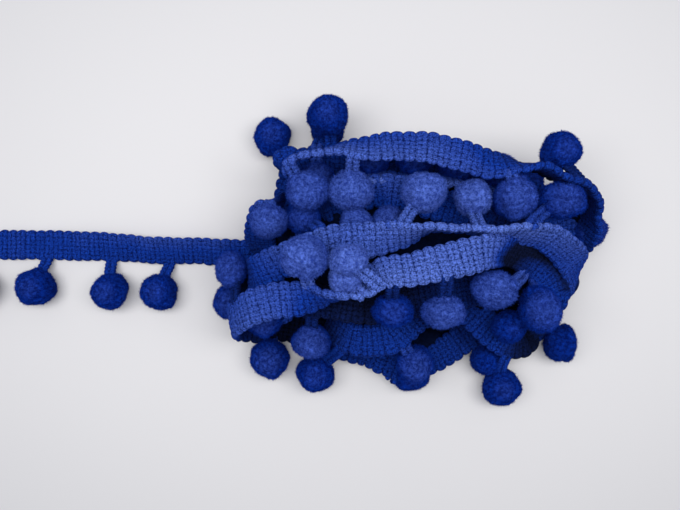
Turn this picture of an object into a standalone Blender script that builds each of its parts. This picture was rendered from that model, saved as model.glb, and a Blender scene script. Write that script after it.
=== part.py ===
"""Pompom fringe trim, wound into a loose hank with one end lying free.

The knitted heading is a band 10 mm wide with pompoms on short stems along one edge. The hank
rests on z = 0 with its middle at the origin. X runs along the turns, Y towards the back, Z up.
Places are read from a view straight down on the hank, then turned to metres by place().
"""

import math
from collections import namedtuple

import bmesh
import bpy
from mathutils import Vector

MM = 0.001

# The trim
HEADING_WIDTH = 10.0 * MM
HEADING_THICKNESS = 2.2 * MM
STEM_WIDTH = 4.0 * MM
STEM_THICKNESS = 2.0 * MM
STEM_SINK = 2.5 * MM
CLEARANCE = 0.3 * MM
WELD = 0.002 * MM
NEAR = 40.0 * MM

# The view from above that the places are read in
VIEW_HEIGHT = 190.0 * MM
VIEW_FOCAL = 525.0
VIEW_CENTRE_X = 340.0
VIEW_CENTRE_Y = 255.0
HANK_CENTRE_X = 410.0
HANK_CENTRE_Y = 250.0

# How finely the solids are divided
COURSE_STEP = 6.0 * MM
ROOT_STEP = 1.0 * MM
SMOOTH_STEPS = 8
BALL_SIDES = 12
BALL_RINGS = 8

# The packed turns inside the hank
CORE_HALF_LENGTH = 50.0 * MM
CORE_BACK = 25.0 * MM
CORE_FRONT = 33.0 * MM
CORE_MIDDLE_X = -1.0 * MM
CORE_MIDDLE_Y = 3.0 * MM
CORE_HEIGHT = 35.0 * MM
CORE_ROUNDNESS = 2.6
CORE_SIDES = 24
CORE_RINGS = 10

COLOURS = {
    "heading": (0.035, 0.070, 0.330, 1.0),
    "pompom": (0.022, 0.050, 0.260, 1.0),
}
YARN_ROUGHNESS = 0.9

# A station of a course: where its middle is seen, its height in mm, and the way across the band
# towards the edge that carries the pompoms, as right, back and up.
Station = namedtuple("Station", "seen_x seen_y height right back up")

LOOSE_END = [
    Station(-38, 245, 1.1, 0.0, -1.0, 0.0),
    Station(40, 245, 1.1, 0.0, -1.0, 0.0),
    Station(100, 246, 1.1, 0.0, -1.0, 0.0),
    Station(160, 248, 1.1, 0.0, -1.0, 0.0),
    Station(205, 250, 1.1, 0.0, -1.0, 0.0),
    Station(262, 252, 1.1, 0.0, -1.0, 0.0),
]

COURSES = {
    "back_top": [
        Station(304, 184, 12, 0.9, -0.3, 0.3),
        Station(291, 172, 23, 0.7, -0.4, 0.6),
        Station(287, 163, 31, 0.4, -0.4, 0.8),
        Station(297, 155, 35, 0.1, -0.3, 0.9),
        Station(322, 150, 36, 0.0, -0.4, 0.9),
        Station(350, 148, 37, 0.0, -0.6, 0.8),
        Station(376, 147, 38, 0.0, -0.8, 0.6),
        Station(402, 146, 38, 0.0, -0.9, 0.5),
        Station(432, 149, 38, 0.0, -0.9, 0.4),
        Station(462, 155, 38, 0.1, -0.9, 0.3),
        Station(490, 163, 37, 0.2, -0.9, 0.4),
        Station(514, 166, 36, 0.1, -0.5, 0.9),
        Station(538, 170, 34, 0.0, 0.0, 1.0),
        Station(562, 179, 32, 0.2, 0.3, 0.9),
        Station(584, 189, 28, 0.3, 0.4, 0.9),
        Station(596, 206, 21, 0.5, 0.2, 0.8),
        Station(592, 229, 12, 0.8, 0.0, 0.5),
        Station(574, 248, 5, 0.8, -0.5, 0.1),
    ],
    "back_low": [
        Station(288, 210, 7, -1.0, 0.1, 0.0),
        Station(291, 187, 9, -1.0, 0.2, 0.1),
        Station(298, 168, 11, -0.7, 0.7, 0.1),
        Station(318, 160, 12, -0.2, 1.0, 0.1),
        Station(345, 160, 12, 0.0, 1.0, 0.1),
        Station(400, 168, 12, 0.0, 1.0, 0.1),
        Station(455, 175, 12, 0.1, 1.0, 0.1),
        Station(515, 190, 12, 0.2, 1.0, 0.1),
        Station(552, 209, 11, 0.5, 0.8, 0.0),
        Station(562, 230, 8, 1.0, 0.1, 0.0),
        Station(552, 250, 4, 0.7, -0.7, 0.0),
    ],
    "back_wall": [
        Station(334, 192, 12, 0.0, 0.3, -1.0),
        Station(344, 180, 24, 0.0, 0.4, -0.9),
        Station(372, 178, 25, 0.0, 0.4, -0.9),
        Station(420, 178, 25, 0.0, 0.4, -0.9),
        Station(475, 186, 25, 0.0, 0.4, -0.9),
        Station(520, 197, 23, 0.1, 0.4, -0.9),
        Station(545, 212, 13, 0.5, 0.2, -0.8),
    ],
    "inner_back": [
        Station(305, 216, 14, -0.2, 0.9, 0.3),
        Station(340, 203, 25, 0.0, 0.9, 0.4),
        Station(388, 191, 28, 0.0, 0.9, 0.4),
        Station(440, 205, 28, 0.1, 0.9, 0.3),
        Station(490, 217, 26, 0.1, 0.9, 0.3),
        Station(540, 228, 18, 0.1, 0.9, 0.2),
    ],
    "left_end": [
        Station(275, 192, 24, 0.8, 0.6, 0.1),
        Station(264, 206, 21, 0.9, 0.3, 0.1),
        Station(260, 226, 16, 1.0, 0.0, 0.1),
        Station(262, 246, 8, 1.0, -0.2, 0.0),
        Station(282, 262, 4, 0.5, -0.8, 0.0),
    ],
    "middle_back": [
        Station(285, 276, 4, 0.0, 1.0, 0.0),
        Station(256, 275, 9, 0.0, 1.0, 0.1),
        Station(250, 273, 20, 0.0, 1.0, 0.2),
        Station(254, 270, 31, 0.0, 0.9, 0.4),
        Station(272, 263, 37, 0.1, 0.9, 0.5),
        Station(298, 252, 39, 0.2, 0.9, 0.4),
        Station(328, 243, 39, 0.1, 1.0, 0.2),
        Station(356, 241, 39, 0.0, 1.0, 0.0),
        Station(382, 239, 39, 0.0, 0.9, 0.4),
        Station(406, 236, 39, 0.0, 0.7, 0.7),
        Station(430, 230, 39, 0.0, 0.3, 0.9),
        Station(460, 229, 39, 0.0, 0.3, 1.0),
        Station(490, 231, 39, 0.0, 0.3, 1.0),
        Station(514, 233, 38, 0.0, 0.4, 0.9),
        Station(538, 237, 36, 0.1, 0.7, 0.7),
        Station(560, 245, 33, 0.3, 0.8, 0.5),
        Station(577, 256, 27, 0.4, 0.8, 0.3),
        Station(584, 266, 18, 0.5, 0.9, 0.0),
        Station(576, 273, 9, 0.3, 0.9, 0.0),
        Station(548, 273, 4, 0.0, 1.0, 0.0),
    ],
    "middle_front": [
        Station(272, 330, 4, 0.2, 1.0, 0.0),
        Station(241, 326, 9, 0.3, 1.0, 0.0),
        Station(231, 322, 20, 0.3, 1.0, 0.0),
        Station(233, 318, 31, 0.3, 1.0, 0.0),
        Station(247, 309, 37, 0.2, 1.0, 0.0),
        Station(274, 301, 39, 0.1, 1.0, 0.0),
        Station(304, 298, 40, 0.0, 1.0, 0.2),
        Station(328, 297, 42, 0.0, 0.5, 0.8),
        Station(346, 293, 43, 0.0, -0.2, 1.0),
        Station(362, 282, 43, 0.0, -0.8, 0.6),
        Station(384, 272, 43, 0.0, -0.8, 0.6),
        Station(412, 268, 43, 0.0, -0.9, 0.5),
        Station(440, 262, 43, 0.1, -1.0, 0.2),
        Station(465, 256, 42, 0.2, -1.0, 0.1),
        Station(492, 250, 40, 0.2, -1.0, 0.0),
        Station(516, 252, 35, 0.0, -1.0, 0.0),
        Station(538, 264, 30, -0.5, -0.8, 0.0),
        Station(552, 282, 26, -0.9, -0.4, 0.0),
        Station(555, 300, 21, -1.0, 0.0, 0.0),
        Station(546, 321, 15, -0.9, 0.4, 0.0),
        Station(528, 336, 9, -0.5, 0.8, 0.0),
        Station(508, 344, 5, -0.1, 1.0, 0.0),
    ],
    "right_low": [
        Station(528, 262, 3, 0.8, 0.4, 0.0),
        Station(549, 283, 5, 1.0, 0.0, 0.0),
        Station(548, 306, 6, 1.0, -0.1, 0.0),
        Station(538, 326, 5, 0.8, -0.6, 0.0),
        Station(518, 330, 3, 0.1, -1.0, 0.0),
    ],
    "front_upper": [
        Station(280, 300, 15, 0.0, -1.0, 0.0),
        Station(302, 301, 25, 0.0, -1.0, 0.2),
        Station(330, 302, 29, 0.0, -1.0, 0.2),
        Station(365, 307, 31, 0.0, -1.0, 0.2),
        Station(402, 302, 31, 0.1, -1.0, 0.2),
        Station(440, 295, 30, 0.1, -1.0, 0.2),
        Station(475, 290, 25, 0.1, -1.0, 0.1),
        Station(512, 285, 16, 0.0, -1.0, 0.0),
    ],
    "front_middle": [
        Station(330, 318, 12, -0.2, -1.0, 0.0),
        Station(342, 333, 19, -0.2, -1.0, 0.0),
        Station(356, 340, 22, 0.0, -1.0, 0.0),
        Station(373, 341, 23, 0.0, -1.0, 0.0),
        Station(392, 337, 24, 0.4, -0.9, 0.0),
        Station(406, 325, 25, 0.7, -0.7, 0.0),
        Station(422, 312, 24, 0.6, -0.8, 0.0),
        Station(448, 302, 20, 0.3, -0.9, 0.0),
        Station(480, 300, 13, 0.1, -1.0, 0.0),
    ],
    "front_low": [
        Station(325, 336, 3, 0.0, -1.0, 0.0),
        Station(348, 347, 5, -0.1, -1.0, 0.0),
        Station(368, 352, 5, -0.3, -0.9, 0.0),
        Station(387, 361, 6, -0.5, -0.9, 0.0),
        Station(407, 367, 6, 0.0, -1.0, 0.0),
        Station(428, 360, 6, 0.5, -0.9, 0.0),
        Station(449, 349, 6, 0.5, -0.9, 0.0),
        Station(470, 335, 5, 0.5, -0.8, 0.0),
        Station(496, 322, 4, 0.2, -1.0, 0.0),
    ],
    "front_slant": [
        Station(446, 288, 21, -0.6, -0.8, 0.0),
        Station(468, 309, 19, -0.6, -0.8, 0.0),
        Station(485, 326, 17, -0.6, -0.8, 0.0),
        Station(500, 338, 15, -0.5, -0.9, 0.0),
        Station(513, 345, 13, -0.3, -0.9, 0.0),
        Station(527, 338, 7, 0.6, -0.8, 0.0),
        Station(526, 318, 4, 1.0, 0.0, 0.0),
    ],
    "under_back": [
        Station(304, 200, 1.1, 0.0, 1.0, 0.0),
        Station(370, 186, 1.1, 0.0, 1.0, 0.0),
        Station(450, 192, 1.1, 0.0, 1.0, 0.0),
        Station(548, 220, 1.1, 0.1, 1.0, 0.0),
    ],
    "under_middle": [
        Station(264, 252, 1.1, 0.0, -1.0, 0.0),
        Station(340, 256, 1.1, 0.0, -1.0, 0.0),
        Station(450, 264, 1.1, 0.0, -1.0, 0.0),
        Station(556, 264, 1.1, 0.0, -1.0, 0.0),
    ],
    "under_front": [
        Station(262, 322, 1.1, 0.1, -1.0, 0.0),
        Station(320, 332, 1.1, 0.0, -1.0, 0.0),
        Station(420, 330, 1.1, 0.0, -1.0, 0.0),
        Station(528, 318, 1.1, 0.0, -1.0, 0.0),
    ],
}

# A pompom: where its middle is seen, its height, its length along X, depth along Y and height
# along Z in mm, the course it hangs from and where its stem's root on that course is seen.
Pompom = namedtuple("Pompom", "seen_x seen_y height long deep tall course root_x root_y")

POMPOMS = {
    "loose_1": Pompom(-22, 289, 6.0, 13.0, 13.0, 12.6, "loose_end", -16, 260),
    "loose_2": Pompom(37, 287, 6.0, 13.2, 13.6, 12.6, "loose_end", 47, 260),
    "loose_3": Pompom(111, 291, 6.0, 13.2, 13.4, 12.6, "loose_end", 113, 261),
    "loose_4": Pompom(159, 291, 6.0, 12.8, 13.2, 12.6, "loose_end", 170, 262),
    "back_1": Pompom(273, 137, 6.2, 12.8, 13.6, 13.0, "back_low", 284, 160),
    "back_2": Pompom(328, 113, 19.5, 13.4, 13.2, 12.8, "back_low", 330, 144),
    "back_3": Pompom(330, 125, 6.2, 13.0, 13.4, 13.0, "back_low", 318, 145),
    "back_4": Pompom(560, 151, 29.0, 12.2, 12.2, 12.4, "back_top", 582, 182),
    "back_5": Pompom(587, 230, 6.2, 12.4, 12.8, 12.6, "back_low", 576, 226),
    "top_1": Pompom(306, 191, 33.0, 12.8, 11.6, 12.6, "back_top", 290, 164),
    "top_2": Pompom(351, 189, 33.0, 13.6, 12.4, 12.4, "back_top", 353, 156),
    "top_3": Pompom(424, 193, 37.0, 13.8, 11.8, 12.6, "middle_back", 404, 226),
    "top_4": Pompom(473, 198, 35.0, 10.6, 11.8, 12.4, "middle_back", 481, 229),
    "top_5": Pompom(515, 197, 37.0, 12.6, 14.2, 12.8, "back_top", 500, 176),
    "top_6": Pompom(558, 204, 33.0, 12.4, 10.8, 11.6, "middle_back", 531, 231),
    "top_7": Pompom(388, 225, 30.5, 11.0, 11.4, 11.8, "middle_back", 392, 226),
    "top_8": Pompom(356, 225, 31.0, 11.0, 11.4, 11.6, "middle_back", 352, 226),
    "top_9": Pompom(303, 218, 25.0, 11.6, 11.6, 12.0, "middle_back", 321, 230),
    "top_10": Pompom(317, 180, 20.0, 12.0, 12.0, 12.4, "back_low", 318, 160),
    "left_1": Pompom(268, 222, 29.0, 13.2, 14.4, 13.2, "left_end", 276, 226),
    "left_2": Pompom(231, 269, 23.0, 10.4, 12.8, 12.4, "middle_front", 236, 300),
    "left_3": Pompom(230, 302, 9.0, 11.6, 12.4, 12.4, "middle_front", 236, 312),
    "crown_1": Pompom(303, 256, 47.0, 12.8, 12.0, 12.4, "middle_front", 306, 286),
    "crown_2": Pompom(348, 257, 46.0, 11.2, 11.0, 11.4, "middle_front", 382, 287),
    "crown_3": Pompom(345, 280, 44.0, 9.6, 9.2, 10.0, "middle_front", 362, 291),
    "front_1": Pompom(264, 320, 24.0, 11.4, 11.2, 12.0, "front_upper", 290, 318),
    "front_2": Pompom(270, 359, 6.8, 13.8, 13.6, 13.8, "under_front", 272, 338),
    "front_3": Pompom(311, 342, 23.0, 12.8, 11.2, 12.4, "front_upper", 327, 318),
    "front_4": Pompom(316, 373, 6.6, 13.8, 13.2, 13.4, "front_low", 342, 360),
    "front_5": Pompom(392, 310, 38.0, 11.8, 9.6, 11.2, "middle_front", 394, 286),
    "front_6": Pompom(444, 312, 38.0, 13.0, 9.8, 11.6, "middle_front", 447, 281),
    "front_7": Pompom(495, 289, 37.0, 13.4, 11.2, 12.2, "middle_front", 524, 271),
    "front_8": Pompom(538, 309, 34.0, 13.4, 14.6, 13.2, "middle_front", 534, 279),
    "front_9": Pompom(509, 327, 23.0, 11.0, 11.0, 11.6, "middle_front", 537, 292),
    "front_10": Pompom(415, 364, 19.0, 12.2, 12.2, 12.4, "front_middle", 404, 348),
    "front_11": Pompom(411, 376, 5.6, 12.4, 10.8, 11.4, "front_low", 388, 381),
    "front_12": Pompom(487, 359, 6.0, 11.8, 11.6, 12.0, "front_low", 478, 346),
    "front_13": Pompom(500, 387, 6.2, 13.0, 12.8, 12.8, "front_slant", 506, 360),
    "front_14": Pompom(560, 342, 6.6, 11.4, 13.8, 13.0, "right_low", 551, 330),
    "rear_1": Pompom(372, 157, 23.0, 12.4, 12.4, 12.4, "back_wall", 376, 170),
    "rear_2": Pompom(415, 156, 22.0, 12.6, 12.4, 12.4, "back_wall", 412, 170),
    "rear_3": Pompom(458, 163, 22.0, 12.4, 12.6, 12.6, "back_wall", 452, 176),
    "rear_4": Pompom(502, 174, 21.0, 12.4, 12.6, 12.4, "back_wall", 508, 188),
    "rear_5": Pompom(396, 154, 6.2, 12.6, 12.8, 12.6, "back_low", 398, 154),
    "rear_6": Pompom(438, 158, 6.2, 12.8, 12.6, 12.6, "back_low", 440, 158),
    "rear_7": Pompom(482, 168, 6.2, 12.6, 12.6, 12.8, "back_low", 482, 166),
    "rear_8": Pompom(526, 181, 6.2, 12.8, 12.8, 12.6, "back_low", 524, 178),
}


def place(seen_x, seen_y, height):
    """The point in metres that is seen at this place of the view, at this height in millimetres."""
    depth = VIEW_HEIGHT - height * MM
    camera_x = (VIEW_CENTRE_X - HANK_CENTRE_X) * VIEW_HEIGHT / VIEW_FOCAL
    camera_y = (HANK_CENTRE_Y - VIEW_CENTRE_Y) * VIEW_HEIGHT / VIEW_FOCAL
    x = camera_x + (seen_x - VIEW_CENTRE_X) * depth / VIEW_FOCAL
    y = camera_y - (seen_y - VIEW_CENTRE_Y) * depth / VIEW_FOCAL
    return Vector((x, y, height * MM))


def seen(point):
    """Where a point is seen in the view."""
    scale = VIEW_FOCAL / (VIEW_HEIGHT - point.z)
    middle = place(VIEW_CENTRE_X, VIEW_CENTRE_Y, 0.0)
    return Vector((
        VIEW_CENTRE_X + (point.x - middle.x) * scale,
        VIEW_CENTRE_Y - (point.y - middle.y) * scale,
    ))


def yarn(name, colour):
    """A matt yarn material."""
    material = bpy.data.materials.new(name)
    material.use_nodes = True
    shader = material.node_tree.nodes["Principled BSDF"]
    shader.inputs["Base Color"].default_value = colour
    shader.inputs["Roughness"].default_value = YARN_ROUGHNESS
    material.diffuse_color = colour
    return material


def collection(name, shown=True):
    made = bpy.data.collections.new(name)
    bpy.context.scene.collection.children.link(made)
    made.hide_render = not shown
    return made


def add_mesh(name, bm, home, material=None):
    """A mesh object from a bmesh, in this collection."""
    mesh = bpy.data.meshes.new(name)
    bm.to_mesh(mesh)
    bm.free()
    made = bpy.data.objects.new(name, mesh)
    home.objects.link(made)
    if material:
        mesh.materials.append(material)
    if home.hide_render:
        made.hide_render = True
        made.display_type = "WIRE"
    return made


def smooth(before, start, end, after, share):
    """The point at this share of the way from start to end, on a curve through all four."""
    squared = share * share
    cubed = squared * share
    return 0.5 * (
        2 * start
        + (end - before) * share
        + (2 * before - 5 * start + 4 * end - after) * squared
        + (3 * start - before - 3 * end + after) * cubed
    )


def course_line(stations, step):
    """Points along a course at even steps, each with the way across the band there."""
    middles = [place(row.seen_x, row.seen_y, row.height) for row in stations]
    acrosses = [Vector((row.right, row.back, row.up)).normalized() for row in stations]
    dense = []
    last = len(stations) - 1
    for i in range(last):
        around = [max(i - 1, 0), i, i + 1, min(i + 2, last)]
        for k in range(SMOOTH_STEPS):
            share = k / SMOOTH_STEPS
            middle = smooth(*[middles[j] for j in around], share)
            across = smooth(*[acrosses[j] for j in around], share)
            dense.append((middle, across))
    dense.append((middles[last], acrosses[last]))
    lengths = [0.0]
    for (start, _), (end, _) in zip(dense, dense[1:]):
        lengths.append(lengths[-1] + (end - start).length)
    count = max(2, round(lengths[-1] / step))
    line = []
    i = 0
    for k in range(count + 1):
        target = lengths[-1] * k / count
        while i < len(dense) - 2 and lengths[i + 1] < target:
            i += 1
        share = (target - lengths[i]) / (lengths[i + 1] - lengths[i])
        middle = dense[i][0].lerp(dense[i + 1][0], share)
        across = dense[i][1].lerp(dense[i + 1][1], share)
        along = (dense[i + 1][0] - dense[i][0]).normalized()
        across = (across - along * across.dot(along)).normalized()
        line.append((middle, across))
    return line


def band(name, line, home, material=None, grow=0.0):
    """The heading along one course: a strip of faces from edge to edge, made as thick as the knit."""
    bm = bmesh.new()
    bmesh.ops.create_grid(bm, x_segments=len(line) - 1, y_segments=1, size=1.0)
    for vert in bm.verts:
        i = round((vert.co.x + 1.0) / 2.0 * (len(line) - 1))
        middle, across = line[i]
        vert.co = middle + across * vert.co.y * (HEADING_WIDTH / 2 + grow)
    made = add_mesh(name, bm, home, material)
    thick = made.modifiers.new("knit", "SOLIDIFY")
    thick.thickness = HEADING_THICKNESS + 2 * grow
    thick.offset = 0.0
    return made


def core(home):
    """The packed inner turns: a low mound with a flat underside."""
    bm = bmesh.new()
    bmesh.ops.create_uvsphere(bm, u_segments=CORE_SIDES, v_segments=CORE_RINGS, radius=1.0)
    power = 2.0 / CORE_ROUNDNESS
    for vert in bm.verts:
        x, y, z = [math.copysign(abs(value) ** power, value) for value in vert.co]
        reach = CORE_BACK if y > 0 else CORE_FRONT
        vert.co = Vector((
            CORE_MIDDLE_X + x * CORE_HALF_LENGTH,
            CORE_MIDDLE_Y + y * reach,
            max(z, 0.0) * CORE_HEIGHT,
        ))
    bmesh.ops.dissolve_degenerate(bm, edges=bm.edges, dist=0.01 * MM)
    return add_mesh("core", bm, home)


def root_of(row, line):
    """The point of a course's pompom edge where a stem starts, and the way along the edge there."""
    edges = [middle + across * HEADING_WIDTH / 2 for middle, across in line]
    wanted = Vector((row.root_x, row.root_y))
    i = min(range(len(edges)), key=lambda k: (seen(edges[k]) - wanted).length)
    along = (edges[min(i + 1, len(edges) - 1)] - edges[max(i - 1, 0)]).normalized()
    return edges[i], along


def ball(name, row, home, grow=0.0):
    """A ball of clipped yarn, flat where it rests on the surface."""
    centre = place(row.seen_x, row.seen_y, row.height)
    radii = Vector((row.long, row.deep, row.tall)) * MM / 2
    bm = bmesh.new()
    bmesh.ops.create_uvsphere(bm, u_segments=BALL_SIDES, v_segments=BALL_RINGS, radius=1.0)
    for vert in bm.verts:
        vert.co = centre + Vector([vert.co[i] * (radii[i] + grow) for i in range(3)])
        vert.co.z = max(vert.co.z, -grow)
    return add_mesh(name, bm, home)


def stem(name, row, line, home, grow=0.0):
    """The flat stem of two chains, from the heading's edge to inside the ball."""
    centre = place(row.seen_x, row.seen_y, row.height)
    root, along = root_of(row, line)
    way = (centre - root).normalized()
    inside = min(row.long, row.deep, row.tall) * MM / 2 - STEM_SINK
    length = (centre - root).length - inside + 2 * grow
    side = (along - way * along.dot(way)).normalized()
    bm = bmesh.new()
    bmesh.ops.create_cube(bm, size=1.0)
    for vert in bm.verts:
        x, y, z = vert.co
        vert.co = (
            root
            + way * ((y + 0.5) * length - grow)
            + side * x * (STEM_WIDTH + 2 * grow)
            + side.cross(way) * z * (STEM_THICKNESS + 2 * grow)
        )
        vert.co.z = max(vert.co.z, -grow)
    return add_mesh(name, bm, home)


def boolean(target, other, operation):
    """One Boolean step. The bands cross each other many times, which only this solver takes."""
    step = target.modifiers.new(other.name, "BOOLEAN")
    step.operation = operation
    step.object = other
    step.solver = "MANIFOLD"


def largest_piece(bm):
    """Keeps the outer shell and removes the closed pockets and the flakes that the cuts leave."""
    bmesh.ops.remove_doubles(bm, verts=bm.verts, dist=WELD)
    unseen = set(bm.verts)
    pieces = []
    while unseen:
        first = unseen.pop()
        piece = {first}
        edge_of_piece = [first]
        while edge_of_piece:
            vert = edge_of_piece.pop()
            for edge in vert.link_edges:
                other = edge.other_vert(vert)
                if other in unseen:
                    unseen.discard(other)
                    piece.add(other)
                    edge_of_piece.append(other)
        pieces.append(piece)
    pieces.sort(key=len)
    for piece in pieces[:-1]:
        bmesh.ops.delete(bm, geom=list(piece), context="VERTS")


def settle(target, home, name, material):
    """Turns an object with its Booleans into one plain closed mesh with the sub-part's name."""
    bpy.context.view_layer.update()
    graph = bpy.context.evaluated_depsgraph_get()
    mesh = bpy.data.meshes.new_from_object(target.evaluated_get(graph))
    bm = bmesh.new()
    bm.from_mesh(mesh)
    bpy.data.meshes.remove(mesh)
    largest_piece(bm)
    bpy.data.objects.remove(target, do_unlink=True)
    made = add_mesh(name, bm, home, material)
    return made


def clear_scene():
    for each in list(bpy.data.objects):
        bpy.data.objects.remove(each, do_unlink=True)


def near(row, other):
    """Whether two pompoms with their stems are close enough to touch."""
    gap = place(row.seen_x, row.seen_y, row.height) - place(other.seen_x, other.seen_y, other.height)
    return gap.length < NEAR


def main():
    clear_scene()
    trim = collection("pompom_fringe_trim")
    helpers = collection("helpers", shown=False)
    heading_yarn = yarn("heading_yarn", COLOURS["heading"])
    pompom_yarn = yarn("pompom_yarn", COLOURS["pompom"])

    lines = {name: course_line(stations, COURSE_STEP) for name, stations in COURSES.items()}
    lines["loose_end"] = course_line(LOOSE_END, COURSE_STEP)
    fine = {name: course_line(stations, ROOT_STEP) for name, stations in COURSES.items()}
    fine["loose_end"] = course_line(LOOSE_END, ROOT_STEP)
    from_the_top = sorted(POMPOMS, key=lambda name: -POMPOMS[name].height)
    rooms = {}
    for name in from_the_top:
        row = POMPOMS[name]
        rooms[name] = [
            ball("room_ball_" + name, row, helpers, CLEARANCE),
            stem("room_stem_" + name, row, fine[row.course], helpers, CLEARANCE),
        ]
    for i, name in enumerate(from_the_top):
        row = POMPOMS[name]
        made = ball("ball_" + name, row, helpers)
        boolean(made, stem("stem_" + name, row, fine[row.course], helpers), "UNION")
        for above in from_the_top[:i]:
            if near(row, POMPOMS[above]):
                for room in rooms[above]:
                    boolean(made, room, "DIFFERENCE")
        settle(made, trim, "pompom_" + name, pompom_yarn)

    loose = lines["loose_end"]
    loose_band = band("band_loose_end", loose, helpers)
    for name in from_the_top:
        if POMPOMS[name].course == "loose_end":
            boolean(loose_band, rooms[name][1], "DIFFERENCE")
    settle(loose_band, trim, "loose_heading", heading_yarn)

    wound = core(helpers)
    for name in COURSES:
        boolean(wound, band("band_" + name, lines[name], helpers), "UNION")
    for name in from_the_top:
        for room in rooms[name]:
            boolean(wound, room, "DIFFERENCE")
    past_end = (loose[-1][0] + (loose[-1][0] - loose[-2][0]).normalized() * CLEARANCE, loose[-1][1])
    boolean(wound, band("room_loose_end", loose + [past_end], helpers, grow=CLEARANCE), "DIFFERENCE")
    settle(wound, trim, "wound_heading", heading_yarn)


main()
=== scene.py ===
# %% [markdown]
# # A hank of pompom trim
#
# The trim is a narrow knitted tape, called the heading, with a fluffy pompom on a short stem every
# couple of centimetres. About two yards of it are wound into a loose hank, and one end lies free.
# The plain solids of the hank come in first as a fixed frame. Each is then dressed with a finer
# piece: knitted strips for the heading, clipped balls of yarn for the pompoms, and the packed
# turns that show darkly between them.

import math
from collections import namedtuple

import bpy
import numpy as np
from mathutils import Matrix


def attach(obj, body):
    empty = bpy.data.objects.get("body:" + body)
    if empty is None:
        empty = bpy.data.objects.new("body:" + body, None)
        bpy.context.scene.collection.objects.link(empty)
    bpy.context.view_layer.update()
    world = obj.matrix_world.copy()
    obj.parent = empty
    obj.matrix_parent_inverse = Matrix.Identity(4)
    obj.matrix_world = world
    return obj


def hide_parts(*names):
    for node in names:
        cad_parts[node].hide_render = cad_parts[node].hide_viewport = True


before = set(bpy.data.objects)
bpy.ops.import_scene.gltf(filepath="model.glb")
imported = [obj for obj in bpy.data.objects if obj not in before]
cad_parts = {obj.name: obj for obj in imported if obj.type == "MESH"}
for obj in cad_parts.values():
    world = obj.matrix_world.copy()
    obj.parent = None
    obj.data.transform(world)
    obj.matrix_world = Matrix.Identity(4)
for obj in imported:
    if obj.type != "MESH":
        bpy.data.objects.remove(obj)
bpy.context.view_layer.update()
MM = 0.001

# %% [markdown]
# ## Where things lie
#
# A hank has no drawing to work from, so its turns are read where they are seen from straight
# above, with a height for each. One function turns such a place into metres. It undoes the
# perspective of a camera that looks down from 190 mm, which makes high turns look larger.

# %% The view from above
VIEW_HEIGHT = 190.0 * MM
VIEW_FOCAL = 525.0
VIEW_WIDTH = 680.0
VIEW_CENTRE_X = 340.0
VIEW_CENTRE_Y = 255.0
HANK_CENTRE_X = 410.0
HANK_CENTRE_Y = 250.0
CAMERA_X = (VIEW_CENTRE_X - HANK_CENTRE_X) * VIEW_HEIGHT / VIEW_FOCAL
CAMERA_Y = (HANK_CENTRE_Y - VIEW_CENTRE_Y) * VIEW_HEIGHT / VIEW_FOCAL


def place(seen_x, seen_y, height):
    """The point in metres that is seen at this place of the view, at this height in millimetres."""
    depth = VIEW_HEIGHT - height * MM
    x = CAMERA_X + (seen_x - VIEW_CENTRE_X) * depth / VIEW_FOCAL
    y = CAMERA_Y - (seen_y - VIEW_CENTRE_Y) * depth / VIEW_FOCAL
    return np.array([x, y, height * MM])


def seen(points):
    """Where points are seen in the view."""
    scale = VIEW_FOCAL / (VIEW_HEIGHT - points[:, 2])
    across = VIEW_CENTRE_X + (points[:, 0] - CAMERA_X) * scale
    down = VIEW_CENTRE_Y - (points[:, 1] - CAMERA_Y) * scale
    return np.stack([across, down], axis=1)


print("camera above x, y in mm:", round(CAMERA_X / MM, 2), round(CAMERA_Y / MM, 2))

# %% [markdown]
# ## The courses of the heading
#
# A course is a stretch of the heading along one side of the hank, or round one of its ends.
# Each row of its table is a station: where the middle of the band is seen, its height, and the
# way across the band towards the edge that carries the pompoms. A band whose way across points
# up stands on its edge, and one whose way across lies level shows its whole face from above.

# %% Stations along each course
Station = namedtuple("Station", "seen_x seen_y height right back up")

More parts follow.
